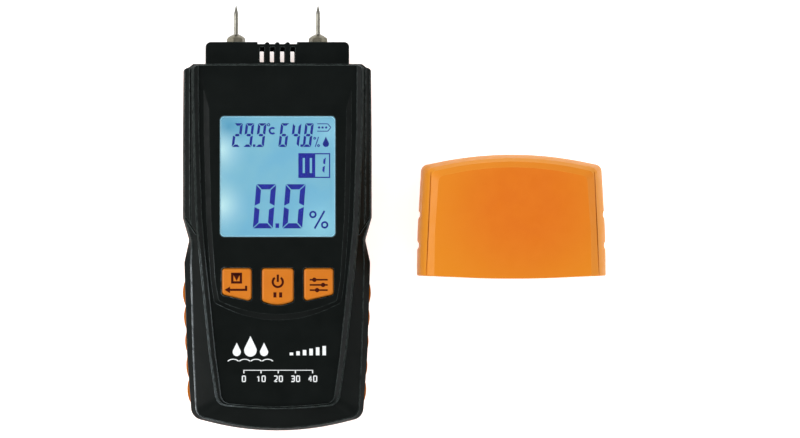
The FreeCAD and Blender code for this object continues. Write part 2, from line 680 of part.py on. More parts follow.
# ---- the whole object ---------------------------------------------------------------
def build():
    nodes = {
        "front_shell": front_shell(),
        "rear_shell": rear_shell(),
        "display_window": display_window(),
        "window_gasket": window_gasket(),
        "lcd_glass": lcd_glass(),
        "lcd_holder": lcd_holder(),
        "backlight_diffuser": backlight_diffuser(),
        "backlight_leds": backlight_leds(),
        "zebra_connectors": zebra_connectors(),
        "enter_key": key("enter_key"),
        "power_key": key("power_key"),
        "set_key": key("set_key"),
        "keypad_mat": keypad_mat(),
        "contact_pads": contact_pads(),
        "main_board": main_board(),
        "microcontroller": microcontroller(),
        "board_components": board_components(),
        "crystal": crystal(),
        "buzzer": buzzer(),
        "sensor_board": sensor_board(),
        "humidity_sensor": humidity_sensor(),
        "sensor_ribbon": sensor_ribbon(),
        "left_pin": electrode_pin(-1),
        "right_pin": electrode_pin(1),
        "pin_collars": [pin_collar(-1, 12.0), pin_collar(1, -8.0)],
        "pin_sockets": [pin_socket(-1), pin_socket(1)],
        "solder_lugs": [solder_lug(-1), solder_lug(1)],
        "left_electrode_lead": electrode_lead(-1),
        "right_electrode_lead": electrode_lead(1),
        "battery_cells": battery_cells(),
        "battery_springs": battery_springs(),
        "battery_contacts": battery_contacts(),
        "battery_leads": battery_leads(),
        "battery_door": battery_door(),
        "door_foam_pad": door_foam_pad(),
        "case_screws": case_screws(),
        "board_screws": board_screws(),
        "pin_cap": pin_cap(),
    }
    os.makedirs("parts", exist_ok=True)
    for name, shape in nodes.items():
        whole = Part.makeCompound(shape) if isinstance(shape, list) else shape
        whole.exportStep("parts/" + name + ".step")
        print(f"{name:24s} solids {len(whole.Solids)}  valid {whole.isValid()}  volume {whole.Volume:.1f}")


build()
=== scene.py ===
"""Looks of the moisture meter: materials, display, printed marks, lights and camera, in metres."""
import bmesh
import bpy
import json
import math
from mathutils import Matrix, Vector
from mathutils.bvhtree import BVHTree


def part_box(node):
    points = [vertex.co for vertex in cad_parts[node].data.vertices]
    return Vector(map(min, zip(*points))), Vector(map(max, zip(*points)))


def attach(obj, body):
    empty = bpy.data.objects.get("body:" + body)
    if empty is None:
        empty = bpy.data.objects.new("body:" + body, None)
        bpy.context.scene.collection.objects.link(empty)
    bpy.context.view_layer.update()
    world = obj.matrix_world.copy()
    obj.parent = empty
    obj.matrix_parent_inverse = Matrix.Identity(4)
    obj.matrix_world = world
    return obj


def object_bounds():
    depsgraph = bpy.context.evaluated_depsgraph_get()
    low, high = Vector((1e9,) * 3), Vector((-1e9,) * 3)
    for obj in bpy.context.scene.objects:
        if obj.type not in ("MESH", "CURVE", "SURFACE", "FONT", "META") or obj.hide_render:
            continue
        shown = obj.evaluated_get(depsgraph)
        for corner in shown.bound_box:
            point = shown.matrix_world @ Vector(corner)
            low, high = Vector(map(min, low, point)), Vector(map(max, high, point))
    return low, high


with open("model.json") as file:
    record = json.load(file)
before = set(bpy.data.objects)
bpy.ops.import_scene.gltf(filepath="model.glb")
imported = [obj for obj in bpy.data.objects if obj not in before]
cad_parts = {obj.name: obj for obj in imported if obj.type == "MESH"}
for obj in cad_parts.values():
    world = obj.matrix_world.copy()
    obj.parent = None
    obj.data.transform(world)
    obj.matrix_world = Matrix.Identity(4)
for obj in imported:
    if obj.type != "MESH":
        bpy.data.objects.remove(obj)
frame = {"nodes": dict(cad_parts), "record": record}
cad_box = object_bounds()
nodes = frame["nodes"]

MM = 0.001
PRINT_THICKNESS = 0.03 * MM
PRINT_GAP = 0.01 * MM           # between a surface and the printing on it
SEGMENT_GAP = 0.05 * MM         # between the glass and the display's segments
WINDOW_RIM_MM = 1.6             # edge of the clear cover that the casing's lip hides
NECK_START_MM = 63.05           # y where the rear shell's half of the neck begins
EDGE_PAINT_BEGINS = 0.985             # edge_turn() where an edge starts to take its rubbed and painted-highlight colour, and where that colour is full
EDGE_PAINT_IS_FULL = 0.86             # and where it is rubbed through
WAVE_FACTOR = 20                # the wave texture's own factor on its scale
# Where the black shell's edges get painted highlights, on the left side that faces the left light: round
# the left thumb rest, and along the shoulder beside it.
LIT_LOWER_LEFT = (("X", -12.0, -18.0), ("Y", -2.0, -8.0))
LIT_SHOULDER_LEFT = (("X", -28.8, -29.4), ("Y", -4.0, -10.0))


# ---- colours and node helpers --------------------------------------------------------
def colour(code):
    """Linear colour from a hexadecimal display colour."""
    channels = [int(code[i:i + 2], 16) / 255 for i in (0, 2, 4)]
    linear = [c / 12.92 if c <= 0.04045 else ((c + 0.055) / 1.055) ** 2.4 for c in channels]
    return (*linear, 1.0)


class Surface:
    """A Principled material with the noise, bump and edge nodes that this scene's surfaces share."""

    def __init__(self, name, base, roughness, metallic=0.0, **sockets):
        self.material = bpy.data.materials.new(name)
        self.material.use_nodes = True
        self.tree = self.material.node_tree
        self.tree.nodes.clear()
        self.shader = self.node("ShaderNodeBsdfPrincipled")
        self.link(self.shader, "BSDF", self.node("ShaderNodeOutputMaterial"), "Surface")
        self.base = colour(base)
        self.shader.inputs["Base Color"].default_value = self.base
        self.shader.inputs["Roughness"].default_value = roughness
        self.shader.inputs["Metallic"].default_value = metallic
        for key, value in sockets.items():
            self.shader.inputs[key.replace("_", " ")].default_value = value
        self.roughness = roughness
        self.target = "Base Color"
        self.turns = {}
        self.place = self.node("ShaderNodeTexCoord")
        self.height = None

    def node(self, kind, **settings):
        made = self.tree.nodes.new(kind)
        for key, value in settings.items():
            setattr(made, key, value)
        return made

    def link(self, source, output, target, socket):
        self.tree.links.new(source.outputs[output], target.inputs[socket])

    def noise(self, size_mm, detail=3.0, stretch=(1.0, 1.0, 1.0)):
        """Noise whose features are about size_mm across, drawn out along an axis by stretch."""
        mapping = self.node("ShaderNodeMapping")
        mapping.inputs["Scale"].default_value = [1 / s for s in stretch]
        self.link(self.place, "Object", mapping, "Vector")
        noise = self.node("ShaderNodeTexNoise")
        noise.inputs["Scale"].default_value = 1 / (size_mm * MM)
        noise.inputs["Detail"].default_value = detail
        self.link(mapping, "Vector", noise, "Vector")
        return noise

    def vary_roughness(self, size_mm, spread):
        """Roughness that drifts by up to spread either way, in patches of about size_mm."""
        noise = self.noise(size_mm, 4.0)
        ramp = self.node("ShaderNodeMapRange")
        ramp.inputs["From Min"].default_value = 0.3
        ramp.inputs["From Max"].default_value = 0.7
        ramp.inputs["To Min"].default_value = self.roughness - spread
        ramp.inputs["To Max"].default_value = self.roughness + spread
        self.link(noise, "Fac", ramp, "Value")
        self.link(ramp, "Result", self.shader, "Roughness")
        return self

    def tint(self, size_mm, other, low=0.35, high=0.65):
        """Blends the base colour softly into another one in patches of about size_mm."""
        noise = self.noise(size_mm)
        ramp = self.node("ShaderNodeValToRGB")
        ramp.color_ramp.elements[0].position = low
        ramp.color_ramp.elements[0].color = self.base
        ramp.color_ramp.elements[1].position = high
        ramp.color_ramp.elements[1].color = colour(other)
        self.link(noise, "Fac", ramp, "Fac")
        self.paint(ramp, "Color")
        return self

    def paint(self, source, output):
        """Links a colour to the painted socket, which blend() then builds on."""
        self.tree.links.new(source.outputs[output], self.shader.inputs[self.target])
        self.painted = (source, output)

    def edge_turn(self, reach_mm):
        """How closely a rounded normal follows the true one: less within reach of an edge."""
        if reach_mm not in self.turns:
            geometry = self.node("ShaderNodeNewGeometry")
            rounded = self.node("ShaderNodeBevel", samples=4)
            rounded.inputs["Radius"].default_value = reach_mm * MM
            turn = self.node("ShaderNodeVectorMath", operation="DOT_PRODUCT")
            self.link(rounded, "Normal", turn, 0)
            self.link(geometry, "Normal", turn, 1)
            self.turns[reach_mm] = turn
        return self.turns[reach_mm]

    def wear_and_highlight_edges(self, other, reach_mm=0.3, within=()):
        """Another colour on the edges, broken up by a fine noise: part rubbed wear, part painted highlight.

        Each limit in within is an axis, the millimetres where wear begins along it, and where it is full.
        """
        ramp = self.node("ShaderNodeMapRange")
        ramp.inputs["From Min"].default_value = EDGE_PAINT_BEGINS
        ramp.inputs["From Max"].default_value = EDGE_PAINT_IS_FULL
        self.link(self.edge_turn(reach_mm), "Value", ramp, "Value")
        breaks = self.noise(1.5, 5.0)
        spread = self.node("ShaderNodeMapRange")
        spread.inputs["From Min"].default_value = 0.25
        spread.inputs["From Max"].default_value = 0.55
        self.link(breaks, "Fac", spread, "Value")
        product = self.node("ShaderNodeMath", operation="MULTIPLY", use_clamp=True)
        self.link(ramp, "Result", product, 0)
        self.link(spread, "Result", product, 1)
        for axis, begin_mm, full_mm in within:
            product = self.limited(product, axis, begin_mm, full_mm)
        return self.blend(product, "Value", other)

    def limited(self, share, axis, begin_mm, full_mm):
        """A share that grows from nothing to its full value along an axis."""
        split = self.node("ShaderNodeSeparateXYZ")
        self.link(self.place, "Object", split, "Vector")
        ramp = self.node("ShaderNodeMapRange")
        ramp.inputs["From Min"].default_value = begin_mm * MM
        ramp.inputs["From Max"].default_value = full_mm * MM
        self.link(split, axis, ramp, "Value")
        product = self.node("ShaderNodeMath", operation="MULTIPLY")
        self.link(share, "Value", product, 0)
        self.link(ramp, "Result", product, 1)
        return product

    def blend(self, source, output, other):
        """Mixes another colour over what is painted so far."""
        mix = self.node("ShaderNodeMix", data_type="RGBA")
        self.link(source, output, mix, 0)
        self.tree.links.new(self.painted[0].outputs[self.painted[1]], mix.inputs[6])
        mix.inputs[7].default_value = colour(other)
        self.paint(mix, 2)
        return self

    def paint_side_light(self, other, start, end):
        """Another colour where the surface falls away from facing up: painted light, lighter on the sides
        where the side lights fall.
        """
        split = self.node("ShaderNodeSeparateXYZ")
        self.link(self.place, "Normal", split, "Vector")
        ramp = self.node("ShaderNodeMapRange")
        ramp.inputs["From Min"].default_value = 1 - start
        ramp.inputs["From Max"].default_value = 1 - end
        self.link(split, "Z", ramp, "Value")
        return self.blend(ramp, "Result", other)

    def duller_sides(self, low_gloss, start=0.25, end=0.5):
        """Coarser grain on the steep sides: less gloss there than on the faces that look up."""
        split = self.node("ShaderNodeSeparateXYZ")
        self.link(self.place, "Normal", split, "Vector")
        gloss = self.node("ShaderNodeMapRange")
        gloss.inputs["From Min"].default_value = 1 - start
        gloss.inputs["From Max"].default_value = 1 - end
        gloss.inputs["To Min"].default_value = self.shader.inputs["Specular IOR Level"].default_value
        gloss.inputs["To Max"].default_value = low_gloss
        self.link(split, "Z", gloss, "Value")
        self.link(gloss, "Result", self.shader, "Specular IOR Level")
        return self

    def beyond_y(self, edge_mm, other):
        """Another colour past a plane across the length."""
        split = self.node("ShaderNodeSeparateXYZ")
        self.link(self.place, "Object", split, "Vector")
        past = self.node("ShaderNodeMath", operation="GREATER_THAN")
        self.link(split, "Y", past, 0)
        past.inputs[1].default_value = edge_mm * MM
        return self.blend(past, "Value", other)

    def glow(self, point, reach_mm, strength, other):
        """Another colour round a point, fading out with the square of the closeness."""
        away = self.node("ShaderNodeVectorMath", operation="DISTANCE")
        self.link(self.place, "Object", away, 0)
        away.inputs[1].default_value = point
        closeness = self.node("ShaderNodeMapRange")
        closeness.inputs["From Max"].default_value = reach_mm * MM
        closeness.inputs["To Min"].default_value = math.sqrt(strength)
        closeness.inputs["To Max"].default_value = 0.0
        self.link(away, "Value", closeness, "Value")
        share = self.node("ShaderNodeMath", operation="POWER")
        self.link(closeness, "Result", share, 0)
        share.inputs[1].default_value = 2.0
        return self.blend(share, "Value", other)

    def away_from(self, point, near_mm, far_mm, other):
        """Another colour that fades in with the distance from a point."""
        away = self.node("ShaderNodeVectorMath", operation="DISTANCE")
        self.link(self.place, "Object", away, 0)
        away.inputs[1].default_value = point
        ramp = self.node("ShaderNodeMapRange", interpolation_type="SMOOTHSTEP")
        ramp.inputs["From Min"].default_value = near_mm * MM
        ramp.inputs["From Max"].default_value = far_mm * MM
        self.link(away, "Value", ramp, "Value")
        return self.blend(ramp, "Result", other)

    def bump(self, size_mm, depth_mm, strength=1.0, detail=2.0, stretch=(1.0, 1.0, 1.0)):
        """Adds a layer of fine relief; layers stack."""
        noise = self.noise(size_mm, detail, stretch)
        bump = self.node("ShaderNodeBump")
        bump.inputs["Strength"].default_value = strength
        bump.inputs["Distance"].default_value = depth_mm * MM
        self.link(noise, "Fac", bump, "Height")
        if self.height is not None:
            self.link(self.height, "Normal", bump, "Normal")
        self.link(bump, "Normal", self.shader, "Normal")
        self.height = bump
        return self


# ---- materials -----------------------------------------------------------------------
def moulded(name, base, other, worn_and_lit_edge, roughness, **sockets):
    """Moulded plastic: slight colour drift, spark-eroded grain, uneven gloss, and a lighter edge colour
    that is part rubbed wear, part painted edge highlight.
    """
    surface = Surface(name, base, roughness, **sockets)
    surface.tint(9.0, other)
    # Edge colour: part rubbed wear, part painted edge highlight.
    surface.wear_and_highlight_edges(worn_and_lit_edge)
    surface.vary_roughness(4.0, 0.06)
    surface.bump(0.25, 0.02, 0.7).bump(6.0, 0.02, 0.25)
    return surface


def cap_plastic(name):
    """The cap's orange, with painted light: deepest in the middle of its front, painted lighter towards the
    edges, and painted lighter and yellower where the wall curves to face the side lights.
    """
    low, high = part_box("pin_cap")
    middle = ((low.x + high.x) / 2 + 5 * MM, (low.y + high.y) / 2 + 5 * MM, high.z)
    surface = Surface(name, "d16a04", 0.5, Specular_IOR_Level=0.25)
    surface.tint(5.0, "d36d07")
    # Painted light: the front grows lighter away from a point near its middle, towards the edges.
    surface.away_from(middle, 8.0, 42.0, "d67f0f")
    # Painted light: the curved sides lighter and yellower, as the side lights fall on them.
    surface.paint_side_light("db8a22", 0.03, 0.25)
    # Edge colour: part rubbed wear, part painted edge highlight.
    surface.wear_and_highlight_edges("e39a40")
    surface.vary_roughness(4.0, 0.06)
    surface.bump(0.25, 0.02, 0.7).bump(6.0, 0.02, 0.25)
    return surface.material


def metal(name, base, other, roughness, turned=False):
    """Plated or drawn metal with faint stains and, where it is turned, fine lines round the Y axis."""
    surface = Surface(name, base, roughness, 1.0)
    surface.tint(2.5, other, 0.4, 0.75)
    surface.vary_roughness(0.8, 0.08)
    stretch = (40.0, 1.0, 40.0) if turned else (1.0, 1.0, 1.0)
    surface.bump(0.18, 0.008, 0.5, 3.0, stretch)
    return surface.material


def soft(name, base, other, roughness, grain_mm=0.4):
    """Rubber, foam, board lacquer and other small inner surfaces."""
    surface = Surface(name, base, roughness)
    surface.tint(3.0, other)
    surface.vary_roughness(1.5, 0.08)
    surface.bump(grain_mm, 0.03, 0.6)
    return surface.material


def striped(name, dark, light, pitch_mm):
    """Elastomer strip of alternate conducting and insulating layers along X."""
    surface = Surface(name, dark, 0.6)
    wave = surface.node("ShaderNodeTexWave", wave_type="BANDS", bands_direction="X")
    wave.inputs["Scale"].default_value = math.tau / (WAVE_FACTOR * pitch_mm * MM)
    surface.link(surface.place, "Object", wave, "Vector")
    ramp = surface.node("ShaderNodeValToRGB")
    ramp.color_ramp.elements[0].color = colour(dark)
    ramp.color_ramp.elements[1].color = colour(light)
    surface.link(wave, "Fac", ramp, "Fac")
    surface.link(ramp, "Color", surface.shader, "Base Color")
    surface.bump(0.4, 0.02, 0.5)
    return surface.material


def clear_window(name):
    """Clear cover with a barely uneven polish."""
    surface = Surface(name, "eef6f8", 0.03, Transmission_Weight=1.0, IOR=1.35)
    surface.vary_roughness(6.0, 0.015)
    surface.bump(30.0, 0.05, 0.15)
    return surface.material


def lit_display(name):
    """Backlit glass: cyan, slightly cloudy, brightest in front of the lamps at its left edge."""
    surface = Surface(name, "16262c", 0.25)
    surface.base = colour("7bbcda")
    surface.target = "Emission Color"
    surface.tint(11.0, "86c3d9")
    half_width, low_y, _ = lit_opening()
    glass_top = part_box("lcd_glass")[1].z

    def glow(x_mm, up_mm, reach_mm, strength, other):
        surface.glow((x_mm * MM, (low_y + up_mm) * MM, glass_top), reach_mm, strength, other)

    glow(-18.0, 39.85, 11.0, 0.8, "3590ba")
    glow(16.0, 4.85, 15.0, 0.8, "9edcf0")
    glow(19.0, 37.85, 11.0, 0.6, "a4dcf0")
    for up_mm, reach_mm, strength in ((11.35, 12.5, 1.0), (22.25, 9.0, 0.12), (31.85, 12.0, 0.95)):
        glow(-half_width, up_mm, reach_mm, strength, "dafdff")
    surface.shader.inputs["Emission Strength"].default_value = 1.0
    surface.bump(0.6, 0.004, 0.3)
    return surface.material


def lit_opening():
    """Half width, lowest y and highest y of the display's lit opening, in millimetres."""
    low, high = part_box("display_window")
    return high.x / MM - WINDOW_RIM_MM, low.y / MM + WINDOW_RIM_MM, high.y / MM - WINDOW_RIM_MM


def printed(name, base, other, roughness, glow=0.0, **sockets):
    """Ink with a fine uneven film; a display's ink also lets a little of the light through."""
    surface = Surface(name, base, roughness, **sockets)
    surface.tint(1.2, other)
    surface.bump(0.12, 0.006, 0.6)
    if glow:
        surface.shader.inputs["Emission Color"].default_value = colour(base)
        surface.shader.inputs["Emission Strength"].default_value = glow
    return surface.material


def make_materials():
    """Every material: one for each of the record's slots, then the inks."""
    black = moulded("black_casing", "0a0e0d", "0d1110", "5c6563", 0.42, Specular_IOR_Level=0.065)
    # Painted highlights on the left side's edges only, round the thumb rest and along the shoulder, where
    # the left light would catch them.
    black.wear_and_highlight_edges("8d979a", within=LIT_LOWER_LEFT)
    black.wear_and_highlight_edges("b1b8bc", 0.6, within=LIT_SHOULDER_LEFT)
    black.duller_sides(0.015)
    orange = moulded("orange_casing", "c26a10", "c87014", "e9a858", 0.48, Specular_IOR_Level=0.15)
    orange.beyond_y(NECK_START_MM, "0d1110")
    keys = moulded("orange_keys", "c26b08", "c7700e", "ecaa5a", 0.45, Specular_IOR_Level=0.3)
    return {
        "casing_black": black.material,
        "casing_orange": orange.material,
        "cap_orange": cap_plastic("orange_cap"),
        "key_orange": keys.material,
        "window_clear": clear_window("clear_cover"),
        "gasket_foam": soft("gasket_foam", "1c1c1c", "262626", 0.8),
        "lcd_lit": lit_display("lit_display"),
        "holder_white": soft("white_plastic", "dedcd6", "cfcdc8", 0.5),
        "diffuser_milky": soft("milky_light_guide", "e9eef2", "dfe6ec", 0.35),
        "led_body": soft("lamp_body", "efe9c8", "f6f1d8", 0.35),
        "zebra_rubber": striped("zebra_strip", "2a2220", "b9a9a2", 0.2),
        "board_green": soft("green_board", "0f4a26", "15572e", 0.35, 0.8),
        "chip_black": soft("chip_black", "161617", "1f1f21", 0.55, 0.15),
        "component_tan": soft("tan_component", "a68458", "94744b", 0.45, 0.2),
        "can_steel": metal("can_steel", "c2c2be", "a9a9a5", 0.3),
        "silicone_grey": soft("grey_silicone", "7d8085", "868a8f", 0.6),
        "contact_gold": metal("gold_contact", "e0b763", "c99d49", 0.28),
        "pin_nickel": metal("nickel_pin", "77756d", "63615a", 0.32, turned=True),
        "collar_nickel": metal("nickel_collar", "7d796b", "635f52", 0.36),
        "socket_brass": metal("turned_brass", "c9a45a", "b18b45", 0.3, turned=True),
        "tinned_steel": metal("tinned_steel", "bdbdbb", "a3a3a1", 0.35),
        "lead_red": soft("red_lead", "b0201c", "a01a18", 0.45),
        "lead_black": soft("black_lead", "1b1b1c", "242425", 0.45),
        "cell_sleeve": soft("cell_sleeve", "24502f", "1c4327", 0.3),
        "foam_grey": soft("grey_foam", "55575a", "4a4c4f", 0.9, 0.25),
        "screw_black": metal("blackened_screw", "3a3a3c", "2c2c2e", 0.42),
        "violet_ink": printed("violet_segments", "10189a", "0c1a8e", 0.35, 0.35),
        "navy_ink": printed("navy_segments", "041a90", "031580", 0.35, 0.35),
        "pale_rim": printed("pale_rim", "a9d9ea", "9fd0e4", 0.4, 0.5),
        "brown_ink": printed("brown_legend", "451103", "3a0d02", 0.7, Specular_IOR_Level=0.08),
        "white_ink": printed("white_print", "eef1f2", "dfe3e4", 0.45),
    }


# ---- carried-over CAD nodes ----------------------------------------------------------
BEVELS = {"front_shell": 0.22, "rear_shell": 0.22, "battery_door": 0.18, "pin_cap": 0.7,
          "enter_key": 0.15, "power_key": 0.15, "set_key": 0.15, "pin_collars": 0.12, "case_screws": 0.1}


def soften(node, width_mm):
    """Rounds a moulded part's edges a little and evens its shading, with modifiers only."""
    weld = node.modifiers.new("weld", "WELD")
    weld.merge_threshold = 0.002 * MM
    flat = node.modifiers.new("flat_faces", "DECIMATE")
    flat.decimate_type = "DISSOLVE"
    flat.angle_limit = math.radians(0.5)
    bevel = node.modifiers.new("bevel", "BEVEL")
    bevel.width = width_mm * MM
    bevel.segments = 3
    bevel.limit_method = "ANGLE"
    bevel.angle_limit = math.radians(19)
    bevel.use_clamp_overlap = True
    bevel.harden_normals = True


def dress_nodes(materials):
    """Gives each CAD node its slot's material, and the moulded ones their rounded edges."""
    slots = {s["node"]: s["material_slot"] for s in frame["record"]["subparts"]}
    for name, node in nodes.items():
        node.data.materials.clear()
        node.data.materials.append(materials[slots[name]])
        if name in BEVELS:
            if "custom_normal" in node.data.attributes:
                node.data.attributes.remove(node.data.attributes["custom_normal"])
            node.data.shade_smooth()
            soften(node, BEVELS[name])


# ---- flat printed shapes -------------------------------------------------------------
class Print:
    """Thin raised shapes on one level: printing on a surface, or the segments of the display.

    Everything is drawn in millimetres from the origin, a point given in millimetres too.
    """

    def __init__(self, name, origin, level):
        self.name = name
        self.origin = origin
        self.low = level
        self.high = level + PRINT_THICKNESS
        self.mesh = bmesh.new()

    def prism(self, outline):
        """Closed shape from its outline."""
        places = [((self.origin[0] + x) * MM, (self.origin[1] + y) * MM) for x, y in outline]
        low = [self.mesh.verts.new((x, y, self.low)) for x, y in places]
        high = [self.mesh.verts.new((x, y, self.high)) for x, y in places]
        self.mesh.faces.new(high)
        self.mesh.faces.new(list(reversed(low)))
        for i in range(len(outline)):
            j = (i + 1) % len(outline)
            self.mesh.faces.new((low[i], low[j], high[j], high[i]))

    def bar(self, x_low, y_low, x_high, y_high):
        self.prism([(x_low, y_low), (x_high, y_low), (x_high, y_high), (x_low, y_high)])

    def stroke(self, start, end, width):
        """Straight line of even width."""
        (x1, y1), (x2, y2) = start, end
        length = math.hypot(x2 - x1, y2 - y1)
        nx, ny = -(y2 - y1) / length * width / 2, (x2 - x1) / length * width / 2
        self.prism([(x1 - nx, y1 - ny), (x2 - nx, y2 - ny), (x2 + nx, y2 + ny), (x1 + nx, y1 + ny)])

    def band(self, centre, radius, width, start_deg=0.0, end_deg=360.0, squash=1.0):
        """Arc or ring of even width; squash flattens it in y."""
        steps = max(8, int(abs(end_deg - start_deg) / 6))
        angles = [math.radians(start_deg + (end_deg - start_deg) * i / steps) for i in range(steps + 1)]
        outer = [(centre[0] + (radius + width / 2) * math.cos(a),
                  centre[1] + (radius + width / 2) * math.sin(a) * squash) for a in angles]
        inner = [(centre[0] + (radius - width / 2) * math.cos(a),
                  centre[1] + (radius - width / 2) * math.sin(a) * squash) for a in angles]
        for i in range(steps):
            self.prism([outer[i], outer[i + 1], inner[i + 1], inner[i]])

    def disc(self, centre, radius, sides=32):
        self.prism([(centre[0] + radius * math.cos(math.tau * i / sides),
                     centre[1] + radius * math.sin(math.tau * i / sides)) for i in range(sides)])

    def frame(self, x_low, y_low, x_high, y_high, width):
        """Rectangular line of even width."""
        self.bar(x_low, y_high - width, x_high, y_high)
        self.bar(x_low, y_low, x_high, y_low + width)
        self.bar(x_low, y_low + width, x_low + width, y_high - width)
        self.bar(x_high - width, y_low + width, x_high, y_high - width)

    def drop(self, centre, radius):
        """Water drop with its point up."""
        x, y = centre
        round_part = [(x + radius * math.cos(math.radians(a)), y + radius * math.sin(math.radians(a)))
                      for a in range(150, 391, 10)]
        self.prism(round_part + [(x, y + 2.3 * radius)])

    def finish(self, body, slot, material):
        """Makes the piece, which rides on a body."""
        bmesh.ops.remove_doubles(self.mesh, verts=self.mesh.verts, dist=1e-7)
        bmesh.ops.recalc_face_normals(self.mesh, faces=self.mesh.faces)
        data = bpy.data.meshes.new(self.name)
        self.mesh.to_mesh(data)
        self.mesh.free()
        piece = bpy.data.objects.new(self.name, data)
        bpy.context.scene.collection.objects.link(piece)
        data.materials.append(material)
        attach(piece, body)


# The segments that each digit lights, named a to g as on any such display.
SEGMENTS = {"0": "abcdef", "1": "bc", "2": "abged", "4": "fgbc",
            "6": "afgedc", "8": "abcdefg", "9": "abcdfg"}


def segment_outlines(width, height, thick, gap):
    """Outlines of the seven mitred segments, a to g, about the digit's middle."""
    x, y, cut, mid = width / 2, height / 2, gap / 2, thick / 2
    top = [(-x + cut, y), (x - cut, y), (x - thick - cut, y - thick), (-x + thick + cut, y - thick)]
    upper_right = [(x, y - cut), (x - thick, y - thick - cut), (x - thick, mid + cut), (x, cut)]
    middle = [(-x + mid + cut, 0), (-x + thick + cut, mid), (x - thick - cut, mid),
              (x - mid - cut, 0), (x - thick - cut, -mid), (-x + thick + cut, -mid)]

    def flipped(outline, across, along):
        return [(across * px, along * py) for px, py in outline]

    return {"a": top, "b": upper_right, "c": flipped(upper_right, 1, -1), "d": flipped(top, 1, -1),
            "e": flipped(upper_right, -1, -1), "f": flipped(upper_right, -1, 1), "g": middle}


def draw_digit(target, digit, centre, width, height, thick, slant, gap):
    """Seven-segment digit that leans to the right."""
    outlines = segment_outlines(width, height, thick, gap)
    for name in SEGMENTS[digit]:
        target.prism([(centre[0] + x + slant * y, centre[1] + y) for x, y in outlines[name]])


def draw_percent(target, centre, width, height, ring, line):
    """Percent sign: two rings of the outer radius ring and a slanted stroke."""
    x, y = centre
    target.band((x - width / 2 + ring, y + height / 2 - ring), ring - line / 2, line)
    target.band((x + width / 2 - ring, y - height / 2 + ring), ring - line / 2, line)
    target.stroke((x - width * 0.22, y - height / 2), (x + width * 0.3, y + height / 2), line)


# ---- display -------------------------------------------------------------------------
def display_prints(materials):
    """Readings, unit signs and icons of the lit display, drawn from the middle of its lower edge."""
    half_width, low_y, high_y = lit_opening()
    origin = (0.0, low_y)
    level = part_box("lcd_glass")[1].z + SEGMENT_GAP

    big = Print("display_main_reading", origin, level)
    for x in (-4.8, 6.0):
        draw_digit(big, "0", (x, 11.05), 7.3, 16.2, 1.9, 0.08, 0.45)
    big.bar(-0.8, 3.1, 0.55, 4.8)
    big.finish("housing", "lcd_lit", materials["violet_ink"])

    small = Print("display_small_readings", origin, level)
    small_readings(small)
    draw_percent(small, (15.1, 6.15), 7.0, 6.5, 1.35, 0.68)
    battery_icon(small, (16.9, 39.95))
    small.finish("housing", "lcd_lit", materials["navy_ink"])

    rim = Print("display_rim", origin, level)
    window_rim(rim, half_width, high_y - low_y)
    rim.finish("housing", "lcd_lit", materials["pale_rim"])

    mode = Print("display_mode_box", origin, level)
    mode.frame(7.6, 21.45, 19.3, 30.55, 0.45)
    mode_icon(mode)
    draw_digit(mode, "1", (16.2, 26.15), 2.4, 6.2, 0.8, 0.1, 0.5)
    mode.finish("housing", "lcd_lit", materials["violet_ink"])


def small_readings(target):
    """Temperature and humidity in one row, with their points, degree, percent and drop signs."""
    for digit, x in zip("299648", (-14.8, -10.6, -6.1, 2.3, 6.7, 11.2)):
        draw_digit(target, digit, (x, 37.15), 3.1, 8.7, 0.92, 0.12, 0.3)
    for x in (-8.6, 8.8):
        target.bar(x - 0.45, 32.85, x + 0.45, 33.75)
    target.band((-3.3, 40.95), 0.42, 0.34)
    target.band((-1.9, 38.75), 1.05, 0.68, 45, 315)
    draw_percent(target, (14.3, 34.65), 2.4, 3.7, 0.5, 0.34)
    target.drop((17.7, 33.95), 1.15)


def window_rim(target, half, high):
    """Bright line round the lit area, just inside the casing's opening."""
    radius, width = 1.5, 0.3
    target.bar(-half + radius, 0.0, half - radius, width)
    target.bar(-half + radius, high - width, half - radius, high)
    target.bar(-half, radius, -half + width, high - radius)
    target.bar(half - width, radius, half, high - radius)
    corners = ((1, high - radius, 0), (-1, high - radius, 90), (-1, radius, 180), (1, radius, 270))
    for side, y, start in corners:
        target.band((side * (half - radius), y), radius - width / 2, width, start, start + 90)


def battery_icon(target, centre):
    """Battery outline that points right, with three dots of charge."""
    x, y = centre
    for side in (1, -1):
        target.stroke((x - 2.4, y + side * 1.35), (x + 1.5, y + side * 1.35), 0.3)
        target.stroke((x + 1.5, y + side * 1.35), (x + 2.6, y), 0.3)
    for step in (-1, 0, 1):
        target.disc((x - 0.4 + step * 1.3, y), 0.42)


def mode_icon(target):
    """Filled half of the mode box, with two light pin strokes left open in it."""
    x_low, y_low, x_high, y_high = 8.05, 21.9, 13.8, 30.1
    pin_low, pin_high = 23.25, 28.75
    pins = (9.6, 12.2)
    half = 0.4
    target.bar(x_low, y_low, x_high, pin_low)
    target.bar(x_low, pin_high, x_high, y_high)
    target.bar(x_low, pin_low, pins[0] - half, pin_high)
    target.bar(pins[0] + half, pin_low, pins[1] - half, pin_high)
    target.bar(pins[1] + half, pin_low, x_high, pin_high)


# ---- key legends ---------------------------------------------------------------------
def key_head(node):
    """Middle of a key's upper end in millimetres, and the height of its face in metres."""
    low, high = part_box(node)
    return ((low.x + high.x) / 2 / MM, high.y / MM), high.z


def key_print(node):
    origin, face = key_head(node)
    return Print(node + "_legend", origin, face + PRINT_GAP)


